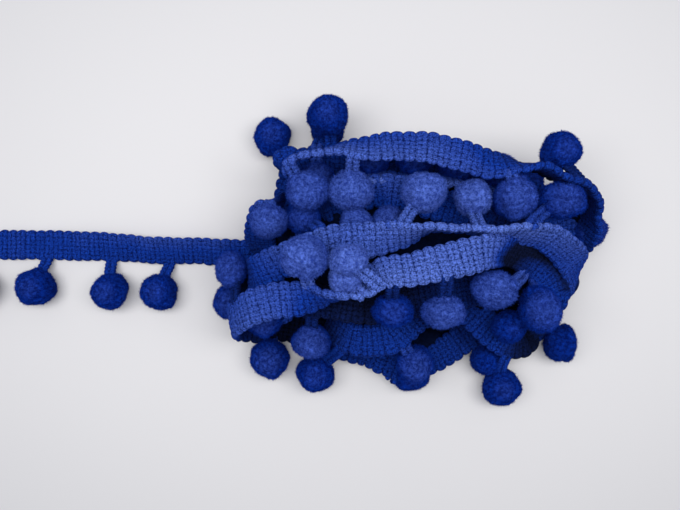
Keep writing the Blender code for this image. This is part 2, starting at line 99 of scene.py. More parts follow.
COURSES = {
    "loose_end": [
        (-38, 245, 1.1, 0.0, -1.0, 0.0),
        (40, 245, 1.1, 0.0, -1.0, 0.0),
        (100, 247, 2.3, 0.0, -1.0, -0.25),
        (160, 250, 3.2, 0.0, -0.9, -0.45),
        (205, 252, 3.3, 0.0, -0.9, -0.45),
        (262, 254, 2.6, 0.0, -0.9, -0.3),
    ],
    "back_top": [
        (304, 184, 12, 0.9, -0.3, 0.3),
        (291, 172, 23, 0.7, -0.4, 0.6),
        (287, 164, 31, 0.4, -0.4, 0.8),
        (297, 157, 35, 0.1, -0.2, 1.0),
        (318, 152, 36, 0.0, -0.2, 1.0),
        (335, 149, 36, 0.0, -0.3, 0.9),
        (350, 148, 37, 0.0, -0.5, 0.8),
        (376, 147, 38, 0.0, -0.8, 0.6),
        (402, 146, 38, 0.0, -0.9, 0.5),
        (432, 149, 38, 0.0, -0.9, 0.4),
        (462, 155, 38, 0.1, -0.9, 0.3),
        (490, 163, 37, 0.2, -0.9, 0.4),
        (514, 166, 36, 0.1, -0.5, 0.9),
        (538, 168, 34, -0.2, 0.0, 1.0),
        (562, 177, 32, -0.3, 0.0, 1.0),
        (584, 187, 28, -0.3, 0.0, 0.9),
        (594, 204, 21, -0.2, -0.1, 0.9),
        (588, 229, 12, 0.3, -0.2, 0.8),
        (574, 248, 5, 0.8, -0.5, 0.1),
    ],
    "back_low": [
        (288, 210, 7, -1.0, 0.1, 0.0),
        (291, 187, 9, -1.0, 0.2, 0.1),
        (298, 168, 11, -0.7, 0.7, 0.1),
        (318, 160, 12, -0.2, 1.0, 0.1),
        (345, 160, 12, 0.0, 1.0, 0.1),
        (400, 168, 12, 0.0, 1.0, 0.1),
        (455, 175, 12, 0.1, 1.0, 0.1),
        (515, 190, 12, 0.2, 1.0, 0.1),
        (552, 209, 11, 0.5, 0.8, 0.0),
        (562, 230, 8, 1.0, 0.1, 0.0),
        (552, 250, 4, 0.7, -0.7, 0.0),
    ],
    "back_wall": [
        (334, 192, 12, 0.0, 0.3, -1.0),
        (344, 180, 24, 0.0, 0.4, -0.9),
        (372, 178, 25, 0.0, 0.4, -0.9),
        (420, 178, 25, 0.0, 0.4, -0.9),
        (475, 186, 25, 0.0, 0.4, -0.9),
        (520, 197, 23, 0.1, 0.4, -0.9),
        (545, 212, 13, 0.5, 0.2, -0.8),
    ],
    "inner_back": [
        (305, 216, 14, -0.2, 0.9, 0.3),
        (340, 203, 25, 0.0, 0.9, 0.4),
        (388, 191, 28, 0.0, 0.9, 0.4),
        (440, 205, 28, 0.1, 0.9, 0.3),
        (490, 217, 26, 0.1, 0.9, 0.3),
        (540, 228, 18, 0.1, 0.9, 0.2),
    ],
    "left_end": [
        (281, 198, 24, 0.8, 0.6, 0.1),
        (268, 209, 21, 0.9, 0.3, 0.1),
        (261, 227, 16, 1.0, 0.0, 0.1),
        (262, 246, 8, 1.0, -0.2, 0.0),
        (282, 262, 4, 0.5, -0.8, 0.0),
    ],
    "middle_back": [
        (285, 276, 4, 0.0, 1.0, 0.0),
        (256, 275, 9, 0.0, 1.0, 0.1),
        (251, 275, 20, 0.0, 1.0, 0.2),
        (256, 273, 31, 0.0, 0.9, 0.4),
        (273, 266, 37, 0.1, 0.9, 0.5),
        (298, 255, 39, 0.2, 0.9, 0.4),
        (328, 244, 39, 0.1, 1.0, 0.2),
        (356, 241, 39, 0.0, 1.0, 0.0),
        (382, 239, 39, 0.0, 0.9, 0.4),
        (406, 235, 39, 0.0, 0.6, 0.8),
        (430, 229, 39, 0.0, 0.1, 1.0),
        (460, 229, 39, 0.0, 0.0, 1.0),
        (490, 231, 39, 0.0, 0.2, 1.0),
        (514, 233, 38, 0.0, 0.4, 0.9),
        (538, 236, 36, 0.4, 0.5, 0.7),
        (556, 243, 33, 0.7, 0.4, 0.45),
        (568, 254, 28, 0.85, 0.1, -0.1),
        (575, 267, 22, 0.7, 0.0, -0.6),
        (574, 279, 15, 0.4, 0.0, -0.9),
        (568, 286, 9, 0.2, -0.1, -0.95),
        (554, 288, 4, 0.0, -0.9, -0.2),
    ],
    "middle_front": [
        (272, 330, 4, 0.2, 1.0, 0.0),
        (242, 326, 9, 0.0, 1.0, 0.0),
        (233, 322, 20, -0.2, 1.0, 0.0),
        (235, 318, 31, -0.1, 1.0, 0.0),
        (248, 309, 37, 0.1, 1.0, 0.0),
        (274, 301, 39, 0.1, 1.0, 0.0),
        (304, 298, 40, 0.0, 0.9, 0.4),
        (328, 297, 42, 0.0, 0.3, 1.0),
        (346, 296, 43, 0.0, 0.0, 1.0),
        (362, 288, 43, 0.0, -0.5, 0.8),
        (382, 273, 43, 0.0, -0.8, 0.6),
        (412, 269, 43, 0.0, -0.9, 0.5),
        (440, 263, 43, 0.1, -1.0, 0.2),
        (465, 257, 42, 0.2, -1.0, 0.1),
        (492, 251, 39, 0.2, -0.9, -0.4),
        (516, 253, 32, 0.0, -0.8, -0.6),
        (538, 265, 25, -0.5, -0.8, -0.2),
        (552, 283, 21, -0.9, -0.4, 0.0),
        (553, 300, 18, -1.0, 0.0, 0.0),
        (541, 317, 13, -0.9, 0.4, 0.0),
        (525, 328, 9, -0.5, 0.8, 0.0),
        (508, 335, 5, -0.1, 1.0, 0.0),
    ],
    "right_low": [
        (528, 262, 3, 0.8, 0.4, 0.0),
        (549, 283, 5, 1.0, 0.0, 0.0),
        (548, 306, 6, 1.0, -0.1, 0.0),
        (538, 326, 5, 0.8, -0.6, 0.0),
        (518, 330, 3, 0.1, -1.0, 0.0),
    ],
    "front_upper": [
        (280, 300, 15, 0.0, -1.0, 0.0),
        (302, 301, 25, 0.0, -1.0, 0.2),
        (330, 302, 29, 0.0, -1.0, 0.2),
        (365, 307, 31, 0.0, -1.0, 0.2),
        (402, 302, 31, 0.1, -1.0, 0.2),
        (440, 295, 30, 0.1, -1.0, 0.2),
        (475, 290, 25, 0.1, -1.0, 0.1),
        (512, 285, 16, 0.0, -1.0, 0.0),
    ],
    "front_middle": [
        (330, 318, 12, -0.2, -1.0, 0.0),
        (342, 333, 19, -0.2, -1.0, 0.0),
        (356, 340, 22, 0.0, -1.0, 0.0),
        (373, 341, 23, 0.0, -1.0, 0.0),
        (392, 337, 24, 0.4, -0.9, 0.0),
        (406, 325, 25, 0.7, -0.7, 0.0),
        (422, 312, 24, 0.6, -0.8, 0.0),
        (448, 302, 20, 0.3, -0.9, 0.0),
        (480, 300, 13, 0.1, -1.0, 0.0),
    ],
    "front_low": [
        (325, 336, 3, 0.0, -1.0, 0.0),
        (348, 347, 5, -0.1, -1.0, 0.0),
        (368, 352, 5, -0.3, -0.9, 0.0),
        (387, 361, 6, -0.5, -0.9, 0.0),
        (407, 367, 6, 0.0, -1.0, 0.0),
        (428, 360, 6, 0.5, -0.9, 0.0),
        (449, 349, 6, 0.5, -0.9, 0.0),
        (470, 335, 5, 0.5, -0.8, 0.0),
        (496, 322, 4, 0.2, -1.0, 0.0),
    ],
    "front_slant": [
        (446, 288, 21, -0.6, -0.8, 0.0),
        (468, 309, 19, -0.6, -0.8, 0.0),
        (485, 326, 17, -0.6, -0.8, 0.0),
        (500, 338, 15, -0.5, -0.9, 0.0),
        (513, 345, 13, -0.3, -0.9, 0.0),
        (527, 338, 7, 0.6, -0.8, 0.0),
        (526, 318, 4, 1.0, 0.0, 0.0),
    ],
    "under_back": [
        (304, 200, 1.1, 0.0, 1.0, 0.0),
        (370, 186, 1.1, 0.0, 1.0, 0.0),
        (450, 192, 1.1, 0.0, 1.0, 0.0),
        (548, 220, 1.1, 0.1, 1.0, 0.0),
    ],
    "under_middle": [
        (264, 252, 1.1, 0.0, -1.0, 0.0),
        (340, 256, 1.1, 0.0, -1.0, 0.0),
        (450, 264, 1.1, 0.0, -1.0, 0.0),
        (556, 264, 1.1, 0.0, -1.0, 0.0),
    ],
    "under_front": [
        (262, 322, 1.1, 0.1, -1.0, 0.0),
        (320, 332, 1.1, 0.0, -1.0, 0.0),
        (420, 330, 1.1, 0.0, -1.0, 0.0),
        (528, 318, 1.1, 0.0, -1.0, 0.0),
    ],
}
COURSES = {name: [Station(*row) for row in rows] for name, rows in COURSES.items()}
print(len(COURSES), "courses with", sum(len(rows) for rows in COURSES.values()), "stations")

# %% Painted light and shade at each station, from -1, painted shade, through 0, plain, to 1, painted light
PAINTED_SHADING = {
    "loose_end": [0, 0, 0, 0, 0, -0.2],
    "back_top": [
        -0.3, -0.1, 0, 0.1, 0.2, 0.2, 0.25, 0.3, 0.3, 0.3, 0.2, 0, -0.3, -0.6, -0.65, -0.6, -0.4, -0.3, -0.6,
    ],
    "back_low": [-0.4, -0.3, -0.3, -0.3, -0.4, -0.5, -0.5, -0.3, 0, 0.1, -0.4],
    "back_wall": [-0.2, 0.3, 0.45, 0.4, 0.2, 0, -0.2],
    "inner_back": [-0.6, -0.2, 0.15, 0, -0.4, -0.8],
    "left_end": [0, 0, 0, -0.2, -0.4],
    "middle_back": [
        -0.8, -0.6, -0.4, -0.1, 0.15, 0.3, 0.45, 0.55, 0.6, 0.55, 0.5, 0.5, 0.55, 0.6, 0.5, 0.35, 0.25,
        0.1, 0, -0.5, -0.9,
    ],
    "middle_front": [
        -0.9, -0.6, 0, 0.3, 0.38, 0.3, 0.0, 0.0, 0.3, 0.7, 0.8, 0.85, 0.85, 0.8, 0.55, -0.6, -0.2,
        0.05, 0, -0.4, -1, -1,
    ],
    "right_low": [-0.6, -0.5, -0.4, -0.4, -0.6],
    "front_upper": [-0.9, -0.9, -0.9, -1, -0.9, -0.7, -0.6, -0.7],
    "front_middle": [-0.7, -0.45, -0.2, -0.15, -0.2, -0.3, -0.6, -0.8, -1],
    "front_low": [-0.6, -0.3, -0.3, -0.2, -0.2, -0.2, -0.3, -0.5, -0.8],
    "front_slant": [-0.7, -0.4, -0.2, -0.15, -0.7, -1, -1],
    "under_back": [-1, -1, -1, -1],
    "under_middle": [-1, -1, -1, -1],
    "under_front": [-1, -1, -1, -1],
}
print("palest station:", max(max(shades) for shades in PAINTED_SHADING.values()))

# %% [markdown]
# ## A smooth line through the stations
#
# Yarn never turns a corner, so the line between two stations is a curve that also looks at the
# stations before and after them. Its points are then spaced evenly, so that every stitch of the
# heading comes out the same size.

# %% Even points along a course
SMOOTH_STEPS = 24
COARSE_STEP = 1.0 * MM


def unit(vectors):
    """Vectors of length one that point the same way."""
    return vectors / np.maximum(np.linalg.norm(vectors, axis=-1, keepdims=True), 1e-12)


def smooth(before, start, end, after, share):
    """The values at this share of the way from start to end, on a curve through all four."""
    squared = share * share
    cubed = squared * share
    return 0.5 * (
        2 * start
        + (end - before) * share
        + (2 * before - 5 * start + 4 * end - after) * squared
        + (3 * start - before - 3 * end + after) * cubed
    )


def course_line(name, step):
    """Distance along a course, its middle, the ways along and across the band, and its painted light and
    shade.
    """
    stations = COURSES[name]
    middles = np.array([place(row.seen_x, row.seen_y, row.height) for row in stations])
    acrosses = unit(np.array([(row.right, row.back, row.up) for row in stations]))
    rows = np.hstack([middles, acrosses, np.array(PAINTED_SHADING[name], dtype=float)[:, None]])
    padded = np.vstack([rows[:1], rows, rows[-1:]])
    dense = []
    for before, start, end, after in zip(padded, padded[1:], padded[2:], padded[3:]):
        for share in np.arange(SMOOTH_STEPS) / SMOOTH_STEPS:
            dense.append(smooth(before, start, end, after, share))
    dense.append(rows[-1])
    dense = np.array(dense)
    gaps = np.linalg.norm(np.diff(dense[:, :3], axis=0), axis=1)
    lengths = np.concatenate([[0.0], np.cumsum(gaps)])
    count = max(2, round(lengths[-1] / step))
    distance = np.linspace(0.0, lengths[-1], count + 1)
    line = np.stack([np.interp(distance, lengths, column) for column in dense.T], axis=1)
    middle = line[:, :3]
    along = unit(np.gradient(middle, axis=0))
    across = line[:, 3:6]
    across = unit(across - along * np.sum(across * along, axis=1, keepdims=True))
    return distance, middle, along, across, line[:, 6]


total = sum(course_line(name, COARSE_STEP)[0][-1] for name in COURSES)
print("heading in all the courses:", round(total, 2), "m")

# %% [markdown]
# ## Materials
#
# The whole trim is soft acrylic yarn, dyed royal blue. Yarn has no shine of its own. The materials
# paint a deep colour in the grooves, which is painted shade, and a paler one on the crests and fibre
# tips, which is painted light, and the shader adds a faint glow at the edge of a shape, which it calls
# sheen. Three small helpers come first: one turns a colour as a web page writes it into the linear
# values that a shader needs, one adds a node with its settings and links, and one starts an empty
# material.

# %% Colour and node helpers
def linear_colour(code):
    """The linear colour, with full alpha, of an sRGB hex code."""
    values = [int(code[i:i + 2], 16) / 255 for i in (1, 3, 5)]
    return tuple(v / 12.92 if v <= 0.04045 else ((v + 0.055) / 1.055) ** 2.4 for v in values) + (1.0,)


def add_node(tree, kind, settings=None, links=None):
    """A new node. Settings name its properties or input sockets, and links feed its inputs."""
    node = tree.nodes.new(kind)
    for key, value in (settings or {}).items():
        if isinstance(key, str) and hasattr(node, key):
            setattr(node, key, value)
        else:
            node.inputs[key].default_value = value
    for key, source in (links or {}).items():
        tree.links.new(source, node.inputs[key])
    return node


def new_material(name):
    """An empty node material and its output node."""
    material = bpy.data.materials.new(name)
    material.use_nodes = True
    material.node_tree.nodes.clear()
    output = add_node(material.node_tree, "ShaderNodeOutputMaterial")
    return material, material.node_tree, output


print("royal blue in linear values:", [round(v, 3) for v in linear_colour("#1b3588")])

# %% [markdown]
# ### Knitted acrylic yarn
#
# The heading is knitted in ribs across the band, two columns of stitches to every scallop of its
# edge: a column each 1.68 mm and a row each 1.43 mm. The shape of the strips has those columns and
# rows, and the material repeats them, from the same distances in the UV map, as grooves painted darker
# than the crests: painted shade in the recesses. Over them lies a fine speckle, the fibres of the yarn.
# Real ones are thinner than a hair, so the speckle is drawn about half a millimetre across, as coarse
# as it needs to be to show. Turns high on the hank are painted paler than those on the table, as
# painted light, and turns deep in it are painted nearly black, as painted shade. An attribute of
# painted light and shade, from -1 to 1, carries that from each piece to the material, which blends
# three pairs of colours by it: painted shade, plain and painted light.

# %% Sizes of the stitches and helpers for the colour
SCALLOP = 3.36
COLUMN = SCALLOP / 2
ROW = 1.43
SPECKLE_MM = 0.46
GROOVE_POWER = 0.5
FIBRE_WEIGHT = 0.75
# The axis of the UV map that each kind of groove repeats along, its pitch, and its weight
GROOVES = [("X", SCALLOP, 0.1), ("X", COLUMN, 0.34), ("Y", ROW, 0.26)]


def colour_between(tree, share, first, second):
    """A colour that goes from the first hex code to the second as the share goes from 0 to 1."""
    ends = {"data_type": "RGBA", 6: linear_colour(first), 7: linear_colour(second)}
    return add_node(tree, "ShaderNodeMix", ends, {0: share}).outputs[2]


def blend(tree, share, first, second):
    """The colour of one socket, then of the other, as the share goes from 0 to 1."""
    sockets = {0: share, 6: first, 7: second}
    return add_node(tree, "ShaderNodeMix", {"data_type": "RGBA"}, sockets).outputs[2]


def yarn_colour(tree, share, painted_shade, plain, pale):
    """The colour between groove and crest, from three pairs of codes: painted shade, plain and painted
    light.
    """
    paleness = add_node(tree, "ShaderNodeAttribute", {"attribute_name": "paleness"}).outputs["Fac"]
    below_plain = {"From Min": -1.0, "From Max": 0.0}
    lifted = add_node(tree, "ShaderNodeMapRange", below_plain, {"Value": paleness})
    darkest, usual, palest = [colour_between(tree, share, *pair) for pair in (painted_shade, plain, pale)]
    return blend(tree, paleness, blend(tree, lifted.outputs[0], darkest, usual), palest)


def groove_wave(tree, distance, pitch):
    """A value that drops to 0 in a narrow groove once every pitch, in the units of the distance."""
    turn = add_node(tree, "ShaderNodeMath", {"operation": "MULTIPLY", 1: math.pi / pitch}, {0: distance})
    wave = add_node(tree, "ShaderNodeMath", {"operation": "SINE"}, {0: turn.outputs[0]})
    folded = add_node(tree, "ShaderNodeMath", {"operation": "ABSOLUTE"}, {0: wave.outputs[0]})
    narrow = {"operation": "POWER", 1: GROOVE_POWER}
    return add_node(tree, "ShaderNodeMath", narrow, {0: folded.outputs[0]}).outputs[0]


print("a stitch of", COLUMN, "by", ROW, "mm, with grooves of power", GROOVE_POWER)

# %% Knitted yarn material
knit, tree, output = new_material("knitted_acrylic_yarn")
coords = add_node(tree, "ShaderNodeTexCoord")
on_band = add_node(tree, "ShaderNodeSeparateXYZ", links={0: coords.outputs["UV"]})
fibres = add_node(
    tree,
    "ShaderNodeTexNoise",
    {"Scale": 1 / (SPECKLE_MM * MM), "Detail": 3.0, "Roughness": 0.75},
    {"Vector": coords.outputs["Object"]},
)
speckle = add_node(
    tree, "ShaderNodeMapRange", {"From Min": 0.38, "From Max": 0.63}, {"Value": fibres.outputs[0]}
)
crest = None
for axis, pitch, weight in GROOVES:
    sockets = {0: groove_wave(tree, on_band.outputs[axis], pitch)}
    if crest:
        sockets[2] = crest.outputs[0]
    crest = add_node(tree, "ShaderNodeMath", {"operation": "MULTIPLY_ADD", 1: weight, 2: 0.0}, sockets)
crest = add_node(
    tree,
    "ShaderNodeMath",
    {"operation": "MULTIPLY_ADD", 1: FIBRE_WEIGHT},
    {0: speckle.outputs[0], 2: crest.outputs[0]},
)
# Grooves of the knit are painted darker than the crests, as painted shade in the recesses, over the random
# speckle of the fibres.
crest_share = add_node(
    tree, "ShaderNodeMapRange", {"From Min": 0.5, "From Max": 1.25}, {"Value": crest.outputs[0]}
)
# Pairs of groove and crest colours for painted shade, plain yarn and painted light, blended by the attribute
# of painted light and shade.
colour = yarn_colour(
    tree, crest_share.outputs[0], ("#02040b", "#111a3a"), ("#030f48", "#1846c0"), ("#0f1e5a", "#6889f4")
)
bump = add_node(
    tree, "ShaderNodeBump", {"Strength": 0.9, "Distance": 0.35 * MM}, {"Height": crest.outputs[0]}
)
finish = {
    "Roughness": 0.95,
    "Specular IOR Level": 0.03,
    "Sheen Weight": 0.05,
    "Sheen Roughness": 0.5,
    "Sheen Tint": linear_colour("#3f62dc"),
}
shader = add_node(
    tree, "ShaderNodeBsdfPrincipled", finish, {"Base Color": colour, "Normal": bump.outputs[0]}
)
tree.links.new(shader.outputs[0], output.inputs[0])
print(knit.name, "with", len(tree.nodes), "nodes")

# %% [markdown]
# ### Clipped acrylic pile
#
# A pompom is a bundle of yarn that is tied, fluffed up and clipped round. The eye sees the cut tips
# of thousands of fibres: a velvety surface, speckled. The material paints a deep saturated colour
# between the tips, as painted shade, and paler tips, as painted light. An attribute named tip, about 0
# at a fibre's root and up to 2 at the end of the brightest, tells the shader where it is. The turns in
# the middle of the hank are the same yarn, painted nearly black as painted shade. The speckle of both
# is 1.2 mm, a tuft of the real pile.

# %% Clipped pile material
PILE_MM = 1.2
TIP_WEIGHT = 0.5

pile, tree, output = new_material("clipped_acrylic_pile")
coords = add_node(tree, "ShaderNodeTexCoord")
tip = add_node(tree, "ShaderNodeAttribute", {"attribute_name": "tip"})
fibres = add_node(
    tree,
    "ShaderNodeTexNoise",
    {"Scale": 1 / (PILE_MM * MM), "Detail": 4.0, "Roughness": 0.85},
    {"Vector": coords.outputs["Object"]},
)
speckle = add_node(
    tree, "ShaderNodeMapRange", {"From Min": 0.4, "From Max": 0.62}, {"Value": fibres.outputs[0]}
)
# Painted light: fibre tips are painted paler than their roots, and the roots darker, as painted shade
# between the tips.
speckle_and_painted_tip_light = add_node(
    tree,
    "ShaderNodeMath",
    {"operation": "MULTIPLY_ADD", 1: TIP_WEIGHT},
    {0: tip.outputs["Fac"], 2: speckle.outputs[0]},
)
# Pairs of colours for painted shade, plain pile and painted light.
colour = yarn_colour(
    tree, speckle_and_painted_tip_light.outputs[0], ("#02040b", "#121d42"), ("#030f52", "#0f3cb8"), ("#20389a", "#6c8ef8")
)
bump = add_node(
    tree, "ShaderNodeBump", {"Strength": 0.9, "Distance": 0.4 * MM}, {"Height": speckle.outputs[0]}
)
finish = {
    "Roughness": 1.0,
    "Specular IOR Level": 0.0,
    "Sheen Weight": 0.08,
    "Sheen Roughness": 0.4,
    "Sheen Tint": linear_colour("#4a6ce4"),
}
shader = add_node(
    tree, "ShaderNodeBsdfPrincipled", finish, {"Base Color": colour, "Normal": bump.outputs[0]}
)
tree.links.new(shader.outputs[0], output.inputs[0])
print(pile.name, "with", len(tree.nodes), "nodes")

# %% Yarn painted nearly black, as painted shade deep in the hank
painted_shade, tree, output = new_material("shaded_acrylic_yarn")
coords = add_node(tree, "ShaderNodeTexCoord")
tufts = {"Scale": 1 / (PILE_MM * MM), "Detail": 3.0}
fibres = add_node(tree, "ShaderNodeTexNoise", tufts, {"Vector": coords.outputs["Object"]})
colour = colour_between(tree, fibres.outputs[0], "#02040f", "#0b1636")
finish = {"Roughness": 1.0, "Specular IOR Level": 0.0}
shader = add_node(tree, "ShaderNodeBsdfPrincipled", finish, {"Base Color": colour})
tree.links.new(shader.outputs[0], output.inputs[0])
print(painted_shade.name, "with", len(tree.nodes), "nodes")

# %% [markdown]
# ## Helpers for the pieces
#
# Everything that is added starts as one of Blender's own primitives. All is deselected first, so
# that an operator works on the new piece alone. When a piece is done it gets its name, its material
# and its ride on the hank's body.

# %% Deselect, move vertices and finish a piece
def deselect_all():
    """Leaves edit mode and selects nothing."""
    if bpy.context.object and bpy.context.object.mode != "OBJECT":
        bpy.ops.object.mode_set(mode="OBJECT")
    bpy.ops.object.select_all(action="DESELECT")


def place_vertices(piece, points):
    """Moves every vertex of a piece to its point."""
    piece.data.vertices.foreach_set("co", np.asarray(points, dtype=np.float32).ravel())
    piece.data.update()


def vertices_of(piece):
    """The place of every vertex of a piece."""
    found = np.empty(len(piece.data.vertices) * 3, dtype=np.float32)
    piece.data.vertices.foreach_get("co", found)
    return found.reshape(-1, 3).astype(float)


def set_attribute(piece, name, values):
    """Gives each vertex its value of a named attribute that a material reads."""
    layer = piece.data.attributes.new(name, "FLOAT", "POINT")
    layer.data.foreach_set("value", np.asarray(values, dtype=np.float32).ravel())


def finish_piece(piece, name, material):
    """Gives a piece its name and material, and lets it ride on the hank's body."""
    piece.name = name
    piece.data.name = name
    piece.data.materials.clear()
    piece.data.materials.append(material)
    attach(piece, "root")
    return piece


deselect_all()
print("nothing is selected:", not bpy.context.selected_objects)

# %% [markdown]
# ## A tube from a grid
#
# A strip of heading and a stem are both tubes: rings of points, one after another along a line. A
# tube starts as a grid whose long side runs along the line and whose short side wraps round the
# ring. Each vertex is moved to its place, the two long edges that meet are merged, and the ends are
# filled. Moving the vertices in code, and not by a modifier, is what lets the stitches follow the
# bends, folds and twists of a course.

# %% Tubes with a stitch map and their paleness
MERGE_DISTANCE = 0.001 * MM
GRID_SIZE = 2.0


def tube(points, stitch_map, paleness):
    """A closed tube through rings of points, each with its place in the UV map and its painted light and
    shade.
    """
    sections, ring = points.shape[:2]
    deselect_all()
    bpy.ops.mesh.primitive_grid_add(x_subdivisions=sections - 1, y_subdivisions=ring, size=GRID_SIZE)
    piece = bpy.context.object
    flat = vertices_of(piece)
    i = np.rint((flat[:, 0] / GRID_SIZE + 0.5) * (sections - 1)).astype(int)
    j = np.rint((flat[:, 1] / GRID_SIZE + 0.5) * ring).astype(int) % ring
    place_vertices(piece, points[i, j])
    corner = np.empty(len(piece.data.loops), dtype=np.int32)
    piece.data.loops.foreach_get("vertex_index", corner)
    on_map = stitch_map[i[corner], j[corner]]
    piece.data.uv_layers.active.data.foreach_set("uv", on_map.astype(np.float32).ravel())
    set_attribute(piece, "paleness", paleness[i, j])
    bpy.ops.object.mode_set(mode="EDIT")
    bpy.ops.mesh.select_all(action="SELECT")
    bpy.ops.mesh.remove_doubles(threshold=MERGE_DISTANCE)
    bpy.ops.mesh.select_all(action="SELECT")
    bpy.ops.mesh.fill_holes(sides=0)
    bpy.ops.mesh.select_all(action="SELECT")
    bpy.ops.mesh.normals_make_consistent(inside=False)
    bpy.ops.object.mode_set(mode="OBJECT")
    bpy.ops.object.shade_smooth()
    return piece


print("vertices closer than", MERGE_DISTANCE / MM, "mm are merged")

# %% [markdown]
# ## The knitted heading
#
# The section of a strip goes across the face, round one edge and back across the other face. The
# edges swell into a scallop every 3.36 mm, the faces rise in two columns of stitches to a scallop,
# and each stitch differs a little from the next, as knitting does.

# %% Section and stitches of the heading
HEADING_STEP = 0.48 * MM
ACROSS_STEPS = 28
EDGE_CROWDING = 1.15
HALF_WIDTH = 4.55
SCALLOP_DEPTH = 0.9
EDGE_WANDER = 0.25
PATTERN_HALF_WIDTH = HALF_WIDTH + SCALLOP_DEPTH / 2
BODY_HALF_THICKNESS = 0.7
BODY_POWER = 6
STITCH_RELIEF = 0.42
STITCH_LEAST = 0.75
STITCH_SPREAD = 0.5
ARCH_SHARE = 0.3
EDGE_FADE_POWER = 10
EDGE_KNOB = 0.45
KNOB_PLACE = 0.84
KNOB_WIDTH = 0.11
EDGE_ROW = 3.0
FIRST_ROW = 20
# Odd numbers that turn the place of a stitch into a value with no pattern to it
SCATTER_MIX = (12.9898, 78.233, 37.719, 43758.5453)


def arch_wave(length, pitch):
    """A row of round arches, each as long as the pitch and 1 high."""
    return np.abs(np.sin(math.pi * length / pitch)) ** 0.5


def scatter(column, row, seed):
    """A steady but irregular value from 0 to 1 for each stitch."""
    mixed = np.sin(column * SCATTER_MIX[0] + row * SCATTER_MIX[1] + seed * SCATTER_MIX[2]) * SCATTER_MIX[3]
    return mixed - np.floor(mixed)


def section_of_heading():
    """Where each vertex of a section lies across the band, from -1 to 1, and on which face."""
    spread = np.linspace(-1.0, 1.0, ACROSS_STEPS + 1)
    share = np.sin(EDGE_CROWDING * spread) / math.sin(EDGE_CROWDING)
    face_up = np.ones(ACROSS_STEPS + 1)
    return np.concatenate([share, share[-2:0:-1]]), np.concatenate([face_up, -face_up[-2:0:-1]])


def knit_section(distance, share, face, seed):
    """How far across and how far out each vertex of the sections lies, in millimetres."""
    length = distance[:, None] / MM
    share = share[None, :]
    arch = arch_wave(length, SCALLOP)
    wander = EDGE_WANDER * (scatter(np.floor(length / SCALLOP), EDGE_ROW * np.sign(share), seed) - 0.5)
    half_width = HALF_WIDTH + SCALLOP_DEPTH * arch + wander
    across = share * PATTERN_HALF_WIDTH
    loop = ARCH_SHARE * arch + (1.0 - ARCH_SHARE) * arch_wave(length, COLUMN)
    stitch = scatter(np.floor(length / COLUMN), np.floor(across / ROW + FIRST_ROW), seed)
    stitch_size = STITCH_LEAST + STITCH_SPREAD * stitch
    fade = 1.0 - np.abs(share) ** EDGE_FADE_POWER
    relief = STITCH_RELIEF * loop * (0.5 + 0.5 * arch_wave(across, ROW)) * stitch_size * fade
    knob = EDGE_KNOB * arch * np.exp(-((np.abs(share) - KNOB_PLACE) / KNOB_WIDTH) ** 2)
    body = BODY_HALF_THICKNESS * np.sqrt(np.maximum(1.0 - share ** BODY_POWER, 0.0))
    return share * half_width, face[None, :] * (body + relief + knob)


share, face = section_of_heading()
print(len(share), "vertices round a section, from", share.min(), "to", share.max())

# %% [markdown]
# ### Shade under a fold
#
# At the right end the middle turn folds over the front one, and its scalloped edge keeps the light
# off the band just below. A lamp that fits the whole hank is too soft to draw that dark crescent,
# so the paleness of the lower band drops along a line that follows the edge.

# %% Shade where a course runs close under a fold
SHADE_LINES = {
    "middle_front": [(505, 258), (517, 250), (530, 249), (542, 255), (553, 264), (562, 275), (568, 290)],
}
SHADE_REACH = 8.0
SHADE_DEPTH = 0.9
SHADE_STEP = 0.25


def shade_under_fold(name, points):
    """How much darker each point of a course is, for lying close under the edge of a fold."""
    if name not in SHADE_LINES:
        return np.zeros(points.shape[:2])
    line = np.array(SHADE_LINES[name], dtype=float)
    steps = np.arange(0.0, len(line) - 1, SHADE_STEP)
    dense = np.stack([np.interp(steps, np.arange(len(line)), column) for column in line.T], axis=1)
    at = seen(points.reshape(-1, 3))
    apart = np.linalg.norm(at[:, None, :] - dense[None, :, :], axis=2).min(axis=1)
    return SHADE_DEPTH * np.exp(-((apart / SHADE_REACH) ** 2)).reshape(points.shape[:2])


print("shade under a fold on", ", ".join(SHADE_LINES))

# %% [markdown]
# ### The strips
#
# No strip lies dead flat: it sways in two slow waves, and its edges curl up and down. The upper
# face of a band is also painted a little paler than what is below its middle, as painted light and
# shade. Each strip's length is printed.

# %% Build the strips
PAINTED_SHADE_BY_HEIGHT = 0.1
FACE_RISE = 1.0
STRIP_FLOOR_GAP = 0.05 * MM
# Height of each wave in millimetres, how far it is spread, and how its start changes by strip
SLOW_SWAY = (0.25, 4.1, 1.0)
QUICK_SWAY = (0.18, 1.9, 2.3)
CURL = (0.35, 6.3, 1.7)


def ripple(length, seed, height, spread, turn):
    """A gentle wave along a strip, in millimetres."""
    return height * np.sin(length / spread + turn * seed)


